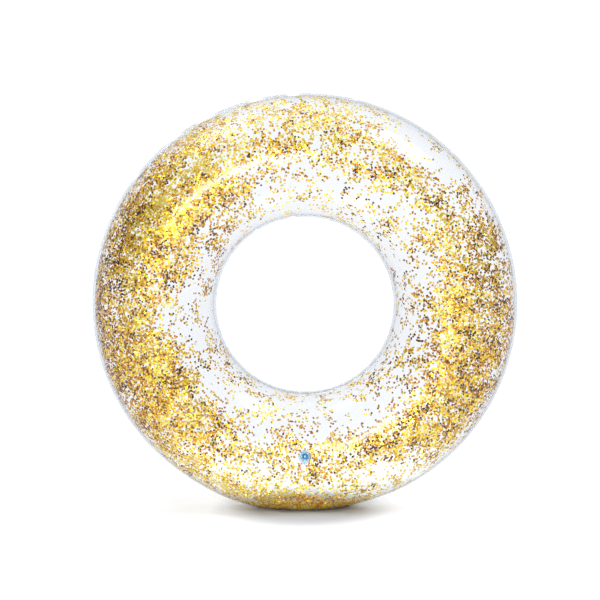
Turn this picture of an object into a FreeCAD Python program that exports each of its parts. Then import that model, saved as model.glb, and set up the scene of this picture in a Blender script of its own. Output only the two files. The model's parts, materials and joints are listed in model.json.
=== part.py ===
"""Clear inflatable swim ring with loose glitter inside and a push-in valve.

The ring stands on its edge on the floor, which is the plane z = 0. Its axis runs
along Y, its front faces -Y, and its valve is low on the front. The origin is the
middle of the footprint. Sizes are in millimetres and live in the sheet "Sizes".
"""
import FreeCAD
import Part
import math
import os

import Sketcher

doc = FreeCAD.newDocument("swim_ring")

# ---------------------------------------------------------------- driving sizes

SIZES = [
    ("ring_radius", 322.5, "axis of the ring to the middle of the tube"),
    ("tube_radius", 127.5, "outside of the tube's round section"),
    ("film", 0.4, "thickness of one sheet of film"),
    ("lip_width", 5, "weld lip, from the tube outwards"),
    ("sink", 12, "how far the tube is pressed flat by its weight on the floor"),
    ("valve_rise", 8, "degrees that the valve sits above the tube's foremost line"),
    ("weld_gap", 0.05, "room left between two pieces that are welded together"),
    ("hole_radius", 10.3, "hole in the front sheet for the valve"),
    ("flange_radius", 14, "round part of the valve's flange"),
    ("flange_tip_radius", 4.5, "round tip of the flange, below the valve"),
    ("flange_tip_offset", 13.5, "middle of that tip below the valve's axis"),
    ("flange_thickness", 1.2, "thickness of the flange"),
    ("neck_radius", 10, "hole in the flange, where the rolling neck starts"),
    ("neck_wall", 1.2, "height of the neck's wall at a cut"),
    ("neck_drop", 5.5, "how far the neck runs down to the stem, pushed in"),
    ("stem_radius", 5.75, "outside of the stem"),
    ("stem_length", 16, "length of the stem"),
    ("stem_stand", 3, "how far the pushed-in stem stands above the sheet"),
    ("bore_radius", 3.75, "bore of the stem"),
    ("ridge_radius", 7, "ridge on the stem that the neck holds"),
    ("ridge_height", 1.5, "height of that ridge"),
    ("neck_clearance", 0.25, "room between the neck and the ridge"),
    ("collar_radius", 7.2, "outside of the strap's collar"),
    ("collar_height", 2.3, "height of the collar"),
    ("strap_width", 4, "width of the strap and its tongue"),
    ("strap_thickness", 0.9, "thickness of the strap"),
    ("fold_offset", 13, "strap's fold below the valve's axis"),
    ("fold_radius", 0.8, "radius of the bead at the fold"),
    ("fold_gap", 0.1, "room round the fold"),
    ("cap_radius", 6.25, "outside of the cap's head"),
    ("cap_height", 2.5, "height of the cap's head"),
    ("plug_radius", 3.7, "plug where it leaves the head"),
    ("plug_depth", 5.8, "depth of the plug below the head"),
    ("plug_taper_depth", 5, "depth to which the plug's side is one arc"),
    ("plug_tip_radius", 2.2, "flat end of the plug"),
    ("cavity_radius", 2, "mouth of the hollow in the plug"),
    ("cavity_floor_radius", 1.4, "floor of that hollow"),
    ("cavity_depth", 6.3, "depth of that hollow from the top of the head"),
    ("flap_radius", 4.8, "check flap"),
    ("flap_thickness", 0.6, "thickness of the flap"),
    ("flap_gap", 0.1, "room between the flap and the stem's end"),
    ("flap_hinge_offset", 6.6, "flap's hinge above the valve's axis"),
    ("flap_bead_radius", 0.6, "bead of the flap's hinge"),
    ("flap_lug_width", 3, "width of the lug that carries the bead"),
    ("flake_width", 4, "glitter flake, across its flats"),
    ("flake_thickness", 0.1, "thickness of a flake"),
    ("flake_gap", 0.6, "room between a flake and the film"),
]

sheet = doc.addObject("Spreadsheet::Sheet", "Sizes")
for row, (alias, number, meaning) in enumerate(SIZES, start=1):
    sheet.set(f"A{row}", meaning)
    sheet.set(f"B{row}", str(number))
    sheet.setAlias(f"B{row}", alias)
doc.recompute()

# Expressions that several pieces share.
RING_HEIGHT = "(Sizes.ring_radius + Sizes.tube_radius - Sizes.sink)"
HALF_ROOM = "2 * (Sizes.ring_radius + Sizes.tube_radius)"
ROOM = "4 * (Sizes.ring_radius + Sizes.tube_radius)"
STEM_END = "(Sizes.stem_stand - Sizes.stem_length)"
FLAP_HINGE_HEIGHT = f"({STEM_END} - Sizes.flap_gap - Sizes.flap_thickness / 2)"


def value(expression):
    """The number that an expression gives, in millimetres or degrees."""
    result = sheet.evalExpression(expression)
    return float(getattr(result, "Value", result))


# ------------------------------------------------------------ building helpers

X_AXIS = FreeCAD.Vector(1, 0, 0)


def place(thing, x="0", y="0", z="0", turn="0"):
    """Bind a thing's place, and its turn in degrees about X, to the sheet."""
    where = FreeCAD.Vector(value(x), value(y), value(z))
    thing.Placement = FreeCAD.Placement(where, FreeCAD.Rotation(X_AXIS, value(turn)))
    for axis, expression in (("x", x), ("y", y), ("z", z)):
        thing.setExpression(f".Placement.Base.{axis}", expression)
    if turn != "0":
        thing.setExpression(".Placement.Rotation.Angle", turn)
    return thing


def place_on_valve(thing):
    """Put a piece drawn about the valve's axis on the tube, its +Z pointing out."""
    return place(
        thing,
        y="-Sizes.tube_radius * cos(Sizes.valve_rise)",
        z=f"{RING_HEIGHT} - Sizes.ring_radius + Sizes.tube_radius * sin(Sizes.valve_rise)",
        turn="90 - Sizes.valve_rise",
    )


def solid(kind, name, **sizes):
    """A Part primitive with its sizes bound to the sheet."""
    thing = doc.addObject(f"Part::{kind}", name)
    for field, expression in sizes.items():
        thing.setExpression(field, expression)
    return thing


def combine(kind, label, base, tool):
    """A Part boolean of two things: Cut, Fuse or Common."""
    thing = doc.addObject(f"Part::{kind}", label)
    thing.Base = base
    thing.Tool = tool
    thing.Label = label
    return thing


def new_body(label):
    body = doc.addObject("PartDesign::Body", label)
    body.Label = label
    return body


def plane(body, role):
    return next(f for f in body.Origin.OriginFeatures if f.Role == role)


def arc_between(start, end, radius, turns_left):
    """The short arc from start to end, and whether it runs anticlockwise."""
    chord = end - start
    to_centre = math.sqrt(radius**2 - (chord.Length / 2) ** 2)
    left = FreeCAD.Vector(-chord.y, chord.x, 0).normalize()
    side = left if turns_left else -left
    centre = start + chord * 0.5 + side * to_centre
    middle = centre - side * radius
    return Part.Arc(start, middle, end)


def outline(body, name, role, corners):
    """A closed sketch on a plane of the body.

    A corner is (across, up), or (across, up, radius, turns_left) when an arc
    leaves it for the next corner. Every entry but turns_left is an expression,
    and the sketch's constraints are bound to them.
    """
    sketch = body.newObject("Sketcher::SketchObject", name)
    sketch.AttachmentSupport = (plane(body, role), [""])
    sketch.MapMode = "FlatFace"
    points = [FreeCAD.Vector(value(c[0]), value(c[1]), 0) for c in corners]
    ends = []
    for number, corner in enumerate(corners):
        start, end = points[number], points[(number + 1) % len(points)]
        if len(corner) == 2:
            sketch.addGeometry(Part.LineSegment(start, end), False)
            ends.append((1, 2))
        else:
            arc = arc_between(start, end, value(corner[2]), corner[3])
            sketch.addGeometry(arc, False)
            ends.append((1, 2) if corner[3] else (2, 1))

    def bind(expression, *constraint):
        index = sketch.addConstraint(Sketcher.Constraint(*constraint, value(expression)))
        sketch.setExpression(f"Constraints[{index}]", expression)

    for number, corner in enumerate(corners):
        before = (number - 1) % len(corners)
        here = (number, ends[number][0])
        joint = Sketcher.Constraint("Coincident", before, ends[before][1], *here)
        sketch.addConstraint(joint)
        for direction, expression, axis in (("X", corner[0], -2), ("Y", corner[1], -1)):
            if expression == "0":
                sketch.addConstraint(Sketcher.Constraint("PointOnObject", *here, axis))
            else:
                bind(expression, f"Distance{direction}", -1, 1, *here)
        if len(corner) == 4:
            bind(corner[2], "Radius", number)
    return sketch


def revolved(body, name, corners):
    """Turn a section (distance from the axis, height) about the body's Z axis."""
    section = outline(body, f"{name}_section", "XZ_Plane", corners)
    turned = body.newObject("PartDesign::Revolution", name)
    turned.Profile = section
    turned.ReferenceAxis = (section, ["V_Axis"])
    turned.Angle = 360
    return turned


def padded(body, name, corners, bottom, height):
    """Raise an outline (x, y) from a bottom level by a height."""
    shape = outline(body, f"{name}_outline", "XY_Plane", corners)
    shape.setExpression(".AttachmentOffset.Base.z", bottom)
    pad = body.newObject("PartDesign::Pad", name)
    pad.Profile = shape
    pad.setExpression("Length", height)
    return pad


def added_box(body, name, wide, deep, high, y, z):
    """A block centred on x = 0 whose lowest corner is at y and z."""
    block = body.newObject("PartDesign::AdditiveBox", name)
    block.setExpression("Length", wide)
    block.setExpression("Width", deep)
    block.setExpression("Height", high)
    place(block, x=f"-({wide}) / 2", y=y, z=z)
    return block


def added_bead(body, name, radius, wide, y, z):
    """A round bead along X, centred on x = 0."""
    bead = body.newObject("PartDesign::AdditiveCylinder", name)
    bead.setExpression("Radius", radius)
    bead.setExpression("Height", wide)
    bead.Placement.Rotation = FreeCAD.Rotation(FreeCAD.Vector(0, 1, 0), 90)
    bead.setExpression(".Placement.Base.x", f"-({wide}) / 2")
    bead.setExpression(".Placement.Base.y", y)
    bead.setExpression(".Placement.Base.z", z)
    return bead


# ------------------------------------------------------------- the two sheets


def tube(name, radius):
    """A whole round tube of the ring, its axis along Y, at the ring's height."""
    thing = solid("Torus", name, Radius1="Sizes.ring_radius", Radius2=radius)
    return place(thing, z=RING_HEIGHT, turn="90")


def disc(name, radius, thickness):
    """A flat disc about the ring's axis, half its thickness each side of y = 0."""
    thing = solid("Cylinder", name, Radius=radius, Height=thickness)
    return place(thing, y=f"({thickness}) / 2", z=RING_HEIGHT, turn="90")


def block(name, y, z):
    """A block as large as the scene that starts at y and z."""
    thing = solid("Box", name, Length=ROOM, Width=ROOM, Height=ROOM)
    return place(thing, x=f"-{HALF_ROOM}", y=y, z=z)


# The lips are the sheets' margins: a thin disc with a hole, joined to the tube.
lip_disc = disc(
    "lip_disc",
    "Sizes.ring_radius + Sizes.tube_radius + Sizes.lip_width",
    "2 * Sizes.film",
)
lip_hole = disc(
    "lip_hole",
    "Sizes.ring_radius - Sizes.tube_radius - Sizes.lip_width",
    "Sizes.tube_radius",
)
lips = combine("Cut", "lips", lip_disc, lip_hole)
outside = combine("Fuse", "outside", tube("tube_outside", "Sizes.tube_radius"), lips)

# The floor cuts the outside at z = 0 and the air one film above it, so the film
# runs flat and whole across the place where the ring stands.
standing = combine("Common", "standing", outside, block("above_floor", f"-{HALF_ROOM}", "0"))
air = combine(
    "Common",
    "air",
    tube("tube_inside", "Sizes.tube_radius - Sizes.film"),
    block("above_film", f"-{HALF_ROOM}", "Sizes.film"),
)
shell = combine("Cut", "shell", standing, air)
front_half = combine("Common", "front_half", shell, block("front", f"-{ROOM}", f"-{HALF_ROOM}"))
back_skin = combine("Common", "back_skin", shell, block("back", "0", f"-{HALF_ROOM}"))

hole = new_body("valve_hole")
revolved(
    hole,
    "hole",
    [
        ("0", "-Sizes.stem_length"),
        ("Sizes.hole_radius", "-Sizes.stem_length"),
        ("Sizes.hole_radius", "Sizes.stem_length"),
        ("0", "Sizes.stem_length"),
    ],
)
place_on_valve(hole)
front_skin = combine("Cut", "front_skin", front_half, hole)

# ------------------------------------------------------------- the valve's flange

# The round part and the tip are joined by two straight sides that touch both. The
# sides' outward direction has this much of X and this much of -Y.
SIDE_DOWN = "((Sizes.flange_radius - Sizes.flange_tip_radius) / Sizes.flange_tip_offset)"
SIDE_OUT = f"sqrt(1 - {SIDE_DOWN} ^ 2)"
ROUND_END = (f"Sizes.flange_radius * {SIDE_OUT}", f"-Sizes.flange_radius * {SIDE_DOWN}")
TIP_END = (
    f"Sizes.flange_tip_radius * {SIDE_OUT}",
    f"-Sizes.flange_tip_offset - Sizes.flange_tip_radius * {SIDE_DOWN}",
)

flange_blank = new_body("flange_blank")
padded(
    flange_blank,
    "blank",
    [
        ("0", "Sizes.flange_radius", "Sizes.flange_radius", True),
        (f"-{ROUND_END[0]}", ROUND_END[1]),
        (f"-{TIP_END[0]}", TIP_END[1], "Sizes.flange_tip_radius", True),
        TIP_END,
        (*ROUND_END, "Sizes.flange_radius", True),
    ],
    "-Sizes.stem_length",
    "2 * Sizes.stem_length",
)
flange_bore = flange_blank.newObject("PartDesign::SubtractiveCylinder", "flange_bore")
flange_bore.setExpression("Radius", "Sizes.neck_radius")
flange_bore.setExpression("Height", "2 * Sizes.stem_length")
place(flange_bore, z="-Sizes.stem_length")
place_on_valve(flange_blank)

FLANGE_BOTTOM = "Sizes.tube_radius + Sizes.weld_gap"
flange_layer = combine(
    "Cut",
    "flange_layer",
    tube("flange_top", f"{FLANGE_BOTTOM} + Sizes.flange_thickness"),
    tube("flange_bottom", FLANGE_BOTTOM),
)
valve_flange = combine("Common", "valve_flange", flange_blank, flange_layer)

# ---------------------------------------------------------------- the valve itself

valve_neck = new_body("valve_neck")
NECK_OUT = "Sizes.neck_radius - Sizes.weld_gap"
NECK_IN = "Sizes.ridge_radius + Sizes.neck_clearance"
revolved(
    valve_neck,
    "neck",
    [
        (NECK_OUT, "Sizes.neck_wall / 2"),
        (NECK_IN, "Sizes.neck_wall / 2 - Sizes.neck_drop"),
        (NECK_IN, "-Sizes.neck_wall / 2 - Sizes.neck_drop"),
        (NECK_OUT, "-Sizes.neck_wall / 2"),
    ],
)
place_on_valve(valve_neck)

valve_stem = new_body("valve_stem")
RIDGE_MIDDLE = "-Sizes.neck_drop"
revolved(
    valve_stem,
    "stem",
    [
        ("Sizes.bore_radius", STEM_END),
        ("Sizes.stem_radius", STEM_END),
        ("Sizes.stem_radius", f"{RIDGE_MIDDLE} - Sizes.ridge_height / 2"),
        ("Sizes.ridge_radius", f"{RIDGE_MIDDLE} - Sizes.ridge_height / 2"),
        ("Sizes.ridge_radius", f"{RIDGE_MIDDLE} + Sizes.ridge_height / 2"),
        ("Sizes.stem_radius", f"{RIDGE_MIDDLE} + Sizes.ridge_height / 2"),
        ("Sizes.stem_radius", "Sizes.stem_stand"),
        ("Sizes.bore_radius", "Sizes.stem_stand"),
    ],
)
LUG_HEIGHT = "2 * Sizes.flap_bead_radius"
LUG_START = "(Sizes.stem_radius + Sizes.bore_radius) / 2"
added_box(
    valve_stem,
    "flap_lug",
    wide="Sizes.flap_lug_width",
    deep=f"Sizes.flap_hinge_offset + Sizes.flap_bead_radius - {LUG_START}",
    high=LUG_HEIGHT,
    y=LUG_START,
    z=STEM_END,
)
added_bead(
    valve_stem,
    "flap_bead",
    radius="Sizes.flap_bead_radius",
    wide="Sizes.flap_lug_width",
    y="Sizes.flap_hinge_offset",
    z=FLAP_HINGE_HEIGHT,
)
place_on_valve(valve_stem)

check_flap = new_body("check_flap")
TAB_HALF = "Sizes.strap_width / 4"
TAB_START = f"sqrt(Sizes.flap_radius ^ 2 - ({TAB_HALF}) ^ 2)"
TAB_END = "Sizes.flap_hinge_offset - Sizes.flap_bead_radius - Sizes.flap_gap"
padded(
    check_flap,
    "flap",
    [
        ("0", "-Sizes.flap_radius", "Sizes.flap_radius", True),
        ("Sizes.flap_radius", "0", "Sizes.flap_radius", True),
        (TAB_HALF, TAB_START),
        (TAB_HALF, TAB_END),
        (f"-{TAB_HALF}", TAB_END),
        (f"-{TAB_HALF}", TAB_START, "Sizes.flap_radius", True),
        ("-Sizes.flap_radius", "0", "Sizes.flap_radius", True),
    ],
    f"{FLAP_HINGE_HEIGHT} - Sizes.flap_thickness / 2",
    "Sizes.flap_thickness",
)
place_on_valve(check_flap)

strap_collar = new_body("strap_collar")
COLLAR_TOP = "(Sizes.stem_stand - Sizes.fold_gap)"
COLLAR_IN = "Sizes.stem_radius + Sizes.weld_gap"
revolved(
    strap_collar,
    "collar",
    [
        (COLLAR_IN, f"{COLLAR_TOP} - Sizes.collar_height"),
        ("Sizes.collar_radius", f"{COLLAR_TOP} - Sizes.collar_height"),
        ("Sizes.collar_radius", COLLAR_TOP),
        (COLLAR_IN, COLLAR_TOP),
    ],
)
added_box(
    strap_collar,
    "tongue",
    wide="Sizes.strap_width",
    deep="Sizes.fold_offset - Sizes.stem_radius - Sizes.strap_thickness",
    high="Sizes.strap_thickness",
    y="-Sizes.fold_offset",
    z=f"{COLLAR_TOP} - Sizes.strap_thickness",
)
added_bead(
    strap_collar,
    "fold_bead",
    radius="Sizes.fold_radius",
    wide="Sizes.strap_width",
    y="-Sizes.fold_offset",
    z="Sizes.stem_stand",
)
place_on_valve(strap_collar)

# The plug's side is one arc about the fold, as seen from the side, so the plug
# leaves the bore without touching it when the cap swings on its strap.
valve_cap = new_body("valve_cap")
PLUG_REACH = "Sizes.fold_offset + Sizes.plug_radius"
PLUG_LOW_RADIUS = f"sqrt(({PLUG_REACH}) ^ 2 - Sizes.plug_taper_depth ^ 2) - Sizes.fold_offset"
HEAD_BOTTOM = "(Sizes.stem_stand + Sizes.weld_gap)"
HEAD_TOP = "(Sizes.stem_stand + Sizes.cap_height)"
revolved(
    valve_cap,
    "cap",
    [
        ("0", "Sizes.stem_stand - Sizes.plug_depth"),
        ("Sizes.plug_tip_radius", "Sizes.stem_stand - Sizes.plug_depth"),
        (PLUG_LOW_RADIUS, "Sizes.stem_stand - Sizes.plug_taper_depth", PLUG_REACH, True),
        ("Sizes.plug_radius", "Sizes.stem_stand"),
        ("Sizes.plug_radius", HEAD_BOTTOM),
        ("Sizes.cap_radius", HEAD_BOTTOM),
        ("Sizes.cap_radius", HEAD_TOP),
        ("Sizes.cavity_radius", HEAD_TOP),
        ("Sizes.cavity_floor_radius", f"{HEAD_TOP} - Sizes.cavity_depth"),
        ("0", f"{HEAD_TOP} - Sizes.cavity_depth"),
    ],
)
place_on_valve(valve_cap)

cap_strap = new_body("cap_strap")
STRAP_HALF = "Sizes.strap_width / 2"
STRAP_IN = "(Sizes.cap_radius + Sizes.weld_gap)"
STRAP_IN_AT_SIDE = f"sqrt({STRAP_IN} ^ 2 - ({STRAP_HALF}) ^ 2)"
STRAP_OUT = "Sizes.fold_offset - Sizes.fold_radius - Sizes.fold_gap"
padded(
    cap_strap,
    "strap",
    [
        (f"-{STRAP_HALF}", f"-({STRAP_OUT})"),
        (STRAP_HALF, f"-({STRAP_OUT})"),
        (STRAP_HALF, f"-{STRAP_IN_AT_SIDE}", STRAP_IN, False),
        (f"-{STRAP_HALF}", f"-{STRAP_IN_AT_SIDE}"),
    ],
    "Sizes.stem_stand + Sizes.fold_gap",
    "Sizes.strap_thickness",
)
place_on_valve(cap_strap)

# ------------------------------------------------------------------- the glitter

# Flakes are spread by two fixed steps whose multiples never bunch up or line up.
CLOCK_STEP, TUBE_STEP = 0.7548776662, 0.5698402910
FLAKES_PER_SHEET = 64
SETTLED_FLAKES = 36
SIDE_MARGIN = 20  # degrees of the tube kept clear beside each weld
VALVE_ROOM = 30  # millimetres kept clear round the valve

film = value("Sizes.film")
ring_height = value(RING_HEIGHT)
flake_reach = value("Sizes.tube_radius - Sizes.film - Sizes.flake_gap")
valve_middle = valve_cap.Placement.Base


def flake(middle, normal, along):
    """One six-sided flake whose face points along the normal."""
    across = normal.cross(along)
    corner_radius = value("Sizes.flake_width") / math.sqrt(3)
    corners = []
    for step in range(7):
        turn = math.radians(60 * step)
        corners.append(middle + (along * math.cos(turn) + across * math.sin(turn)) * corner_radius)
    face = Part.Face(Part.makePolygon(corners))
    return face.extrude(normal * -value("Sizes.flake_thickness"))


def flakes_on_sheet(front):
    """Flakes against the inside of one sheet; the front sheet faces -Y."""
    flakes = []
    number = 0
    while len(flakes) < FLAKES_PER_SHEET:
        number += 1
        clock = 2 * math.pi * (number * CLOCK_STEP % 1)
        spread = math.radians(180 - 2 * SIDE_MARGIN)
        round_tube = math.radians(SIDE_MARGIN) + spread * (number * TUBE_STEP % 1)
        outward = FreeCAD.Vector(math.sin(clock), 0, math.cos(clock))
        along = FreeCAD.Vector(math.cos(clock), 0, -math.sin(clock))
        facing = FreeCAD.Vector(0, -1 if front else 1, 0)
        normal = outward * math.cos(round_tube) + facing * math.sin(round_tube)
        middle = outward * value("Sizes.ring_radius") + normal * flake_reach
        middle.z += ring_height
        clear_of_floor = middle.z > 2 * value("Sizes.flake_width")
        if clear_of_floor and middle.distanceToPoint(valve_middle) > VALVE_ROOM:
            flakes.append(flake(middle, normal, along))
    return flakes


def flakes_on_floor():
    """Flakes that lie on the flat place at the bottom, in an oval spiral."""
    sink = value("Sizes.sink")
    half_length = math.sqrt(2 * sink * value("Sizes.ring_radius + Sizes.tube_radius"))
    half_width = math.sqrt(2 * sink * value("Sizes.tube_radius"))
    flakes = []
    for number in range(SETTLED_FLAKES):
        turn = number * math.pi * (3 - math.sqrt(5))
        reach = 0.8 * math.sqrt((number + 0.5) / SETTLED_FLAKES)
        x = reach * half_length * math.cos(turn)
        y = reach * half_width * math.sin(turn)
        middle = FreeCAD.Vector(x, y, film + value("Sizes.flake_gap"))
        flakes.append(flake(middle, FreeCAD.Vector(0, 0, -1), X_AXIS))
    return flakes


def glitter(label, flakes):
    thing = doc.addObject("Part::Feature", label)
    thing.Label = label
    thing.Shape = Part.makeCompound(flakes)
    return thing


glitter_pieces = [
    glitter("glitter_on_front_skin", flakes_on_sheet(front=True)),
    glitter("glitter_on_back_skin", flakes_on_sheet(front=False)),
    glitter("glitter_settled", flakes_on_floor()),
]

# ----------------------------------------------------------- checks and export

pieces = [
    front_skin,
    back_skin,
    valve_flange,
    valve_neck,
    valve_stem,
    strap_collar,
    valve_cap,
    cap_strap,
    check_flap,
    *glitter_pieces,
]
doc.recompute()
for thing in doc.Objects:
    if {"Invalid", "Error"} & set(thing.State):
        raise SystemExit(f"{thing.Label} failed: {thing.State}")

os.makedirs("parts", exist_ok=True)
for piece in pieces:
    shape = piece.Shape
    if shape.isNull() or not shape.isValid() or not shape.Solids:
        raise SystemExit(f"{piece.Label} has no sound solid")
    shape.exportStep(f"parts/{piece.Label}.step")
    size = shape.BoundBox
    print(
        f"{piece.Label}: {len(shape.Solids)} solid(s), {shape.Volume:.1f} mm3,",
        f"x {size.XMin:.1f}..{size.XMax:.1f}",
        f"y {size.YMin:.1f}..{size.YMax:.1f}",
        f"z {size.ZMin:.1f}..{size.ZMax:.1f}",
    )
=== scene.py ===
# %% [markdown]
# # A clear swim ring full of gold glitter
#
# The real ring is two round sheets of clear vinyl film. They are welded to each other
# along the outer and the inner edge, and the air between them swells them into a tube.
# Loose gold flakes cling to the inside, and a small blue valve sits low on the front.
# The frame holds the same ring as a plain CAD model with its joints. This script keeps
# to its sizes and gives it its looks, one piece at a time.

# %% Load the frame
import json
import math

import bpy
import numpy as np
from mathutils import Matrix, Vector, noise


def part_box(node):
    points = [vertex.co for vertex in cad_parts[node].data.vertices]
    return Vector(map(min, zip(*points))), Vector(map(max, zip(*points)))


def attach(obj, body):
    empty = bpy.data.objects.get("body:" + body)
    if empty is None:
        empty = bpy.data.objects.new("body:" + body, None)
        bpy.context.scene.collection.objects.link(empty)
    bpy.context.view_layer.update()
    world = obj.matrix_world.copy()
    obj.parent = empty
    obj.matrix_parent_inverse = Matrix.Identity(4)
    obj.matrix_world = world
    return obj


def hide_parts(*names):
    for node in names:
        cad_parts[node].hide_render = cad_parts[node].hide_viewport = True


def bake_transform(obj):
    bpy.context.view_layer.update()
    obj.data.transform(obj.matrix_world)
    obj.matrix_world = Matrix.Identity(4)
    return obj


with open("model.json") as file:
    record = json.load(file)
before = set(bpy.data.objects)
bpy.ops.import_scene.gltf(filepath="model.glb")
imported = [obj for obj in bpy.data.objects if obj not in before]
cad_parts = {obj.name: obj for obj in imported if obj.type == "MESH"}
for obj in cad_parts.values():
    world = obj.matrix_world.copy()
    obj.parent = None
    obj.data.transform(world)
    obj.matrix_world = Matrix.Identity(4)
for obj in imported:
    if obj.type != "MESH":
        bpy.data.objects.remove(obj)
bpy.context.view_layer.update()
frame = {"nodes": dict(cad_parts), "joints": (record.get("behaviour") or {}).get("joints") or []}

# %% [markdown]
# ## Sizes
#
# Sizes could be typed in, but then they could drift away from the CAD model, so the big
# ones are read from it. Its round faces are made of small flat ones, which makes its
# boxes a hair too small, and rounding to half a millimetre gives the true sizes back.
# The valve's own axes come from the joint along which its stem slides.

# %% Sizes read from the frame
def half_millimetres(length):
    """A length rounded to the nearest half millimetre."""
    return round(length * 2000) / 2000


FILM = 0.0004            # thickness of one sheet
LIP = 0.005              # width of the welded lips
sheet_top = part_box("back_skin")[1]
OUTSIDE = half_millimetres(sheet_top[0])
TUBE = half_millimetres(sheet_top[1])
RING = OUTSIDE - LIP - TUBE
MIDDLE = half_millimetres(sheet_top[2]) - OUTSIDE

joints = {joint["name"]: joint for joint in frame["joints"]}
VALVE_OUT = Vector(joints["stem_push"]["axis"]).normalized()
VALVE_UP = VALVE_OUT.cross(Vector((1, 0, 0)))
valve_rise = math.asin(VALVE_OUT.z)
VALVE = Vector((0, -TUBE * math.cos(valve_rise), MIDDLE - RING + TUBE * math.sin(valve_rise)))
print("ring", RING, "tube", TUBE, "middle", MIDDLE, "valve", tuple(VALVE))

# %% [markdown]
# ## Camera
#
# A wide lens close by would make the ring's front swell and its hole shrink. A long
# lens from eight metres away keeps the round shape nearly free of perspective. It looks
# slightly down, as one does at a thing on the floor.

# %% Camera
CAMERA_DISTANCE = 8.0
CAMERA_RISE = math.radians(10)
FIELD_WIDTH = 1.285       # metres across the view, at the ring
SENSOR_WIDTH = 36         # millimetres
AIM = Vector((-0.0105, 0, MIDDLE + 0.0098))

bpy.ops.object.camera_add(
    location=AIM + CAMERA_DISTANCE * Vector((0, -math.cos(CAMERA_RISE), math.sin(CAMERA_RISE))),
    rotation=(math.radians(90) - CAMERA_RISE, 0, 0),
)
camera = bpy.context.object
camera.data.sensor_width = SENSOR_WIDTH
camera.data.lens = SENSOR_WIDTH * CAMERA_DISTANCE / FIELD_WIDTH
scene = bpy.context.scene
scene.camera = camera
print("lens", round(camera.data.lens), "mm")

# %% [markdown]
# ## Writing shader sums
#
# A material is a graph of nodes. It could be wired node by node, but a long sum is
# easier to read as a sum. So one small class stands for one output of a node and adds a
# Math node for each operator. Every other node comes from one method, which sets the
# node up and links its inputs.

# %% Shader helpers
class Value:
    """One output of a node. Operators on it add Math nodes."""

    def __init__(self, finish, socket):
        self.finish = finish
        self.socket = socket

    def maths(self, operation, *inputs):
        return self.finish.node("ShaderNodeMath", {"operation": operation}, dict(enumerate(inputs)))

    def __add__(self, other):
        return self.maths("ADD", self, other)

    def __radd__(self, other):
        return self.maths("ADD", other, self)

    def __sub__(self, other):
        return self.maths("SUBTRACT", self, other)

    def __rsub__(self, other):
        return self.maths("SUBTRACT", other, self)

    def __mul__(self, other):
        return self.maths("MULTIPLY", self, other)

    def __rmul__(self, other):
        return self.maths("MULTIPLY", other, self)

    def __pow__(self, other):
        return self.maths("POWER", self, other)

    def clamped(self):
        return self.maths("MINIMUM", self.maths("MAXIMUM", self, 0.0), 1.0)


class Finish:
    """The node tree of a material or of the world, while it is being built."""

    def __init__(self, owner):
        owner.use_nodes = True
        self.name = owner.name
        self.tree = owner.node_tree
        self.tree.nodes.clear()

    def node(self, kind, settings=None, inputs=None, output=0):
        """Add a node, set it up, link or set its inputs, and return one output."""
        made = self.tree.nodes.new(kind)
        for name, setting in (settings or {}).items():
            if name == "ramp":
                self.fill_ramp(made.color_ramp, setting)
            else:
                setattr(made, name, setting)
        for name, given in (inputs or {}).items():
            socket = self.socket(made.inputs, name)
            if isinstance(given, Value):
                self.tree.links.new(given.socket, socket)
            else:
                socket.default_value = given
        if not made.outputs:
            return None
        return Value(self, self.socket(made.outputs, output))

    def socket(self, sockets, name):
        """The socket of that name or number; of several, the one that is switched on."""
        if isinstance(name, int):
            return sockets[name]
        return next(socket for socket in sockets if socket.name == name and socket.enabled)

    def fill_ramp(self, ramp, stops):
        while len(ramp.elements) < len(stops):
            ramp.elements.new(0.5)
        for element, (position, colour) in zip(ramp.elements, stops):
            element.position = position
            element.color = (*colour, 1)

    def part(self, vector, axis):
        """The X, Y or Z of a vector."""
        return self.node("ShaderNodeSeparateXYZ", None, {0: vector}, output=axis)

    def eased(self, value, start, end):
        """0 where the value is at the start and 1 at the end, with soft ends."""
        return self.node(
            "ShaderNodeMapRange",
            {"interpolation_type": "SMOOTHSTEP"},
            {"Value": value, "From Min": start, "From Max": end},
        )

    def principled(self, **inputs):
        """A Principled shader. Base_Color=... sets its input Base Color."""
        named = {name.replace("_", " "): given for name, given in inputs.items()}
        return self.node("ShaderNodeBsdfPrincipled", None, named)

    def surface(self, shader):
        self.node("ShaderNodeOutputMaterial", None, {"Surface": shader})
        print(self.name, "has", len(self.tree.nodes), "nodes")


def new_finish(name):
    material = bpy.data.materials.new(name)
    return material, Finish(material)


# %% [markdown]
# ## Studio
#
# A clear thing shows mostly what it reflects, so the studio is half of its looks. An
# image of a room could light it, but a few sums do it here without a file. What the
# camera sees behind the ring is plain white. What film and flakes reflect is a bright
# room that is darker on the camera's side and at both sides.

# %% World
world = bpy.data.worlds.new("studio")
scene.world = world
room = Finish(world)
direction = room.node("ShaderNodeTexCoord", output="Generated")
depth = room.part(direction, "Y")
height = room.part(direction, "Z")
side = room.part(direction, "X")
backness = (0.5 + 0.5 * depth).clamped()
above = height.maths("MAXIMUM", height, 0.0)
lit = 0.24 + 0.26 * backness + 0.42 * above - 0.26 * side**2
room_light = room.node(
    "ShaderNodeBackground", None, {"Color": (0.97, 0.98, 1, 1), "Strength": lit.clamped()}
)
backdrop = room.node("ShaderNodeBackground", None, {"Color": (1, 1, 1, 1), "Strength": 1.0})
seen = room.node("ShaderNodeLightPath", output="Is Camera Ray")
both = room.node("ShaderNodeMixShader", None, {0: seen, 1: room_light, 2: backdrop})
room.node("ShaderNodeOutputWorld", None, {"Surface": both})

# A ray crosses many walls of film, so many crossings are allowed.
scene.view_settings.view_transform = "Standard"
scene.cycles.transparent_max_bounces = 48
scene.cycles.max_bounces = 10
print("world has", len(room.tree.nodes), "nodes")

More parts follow.
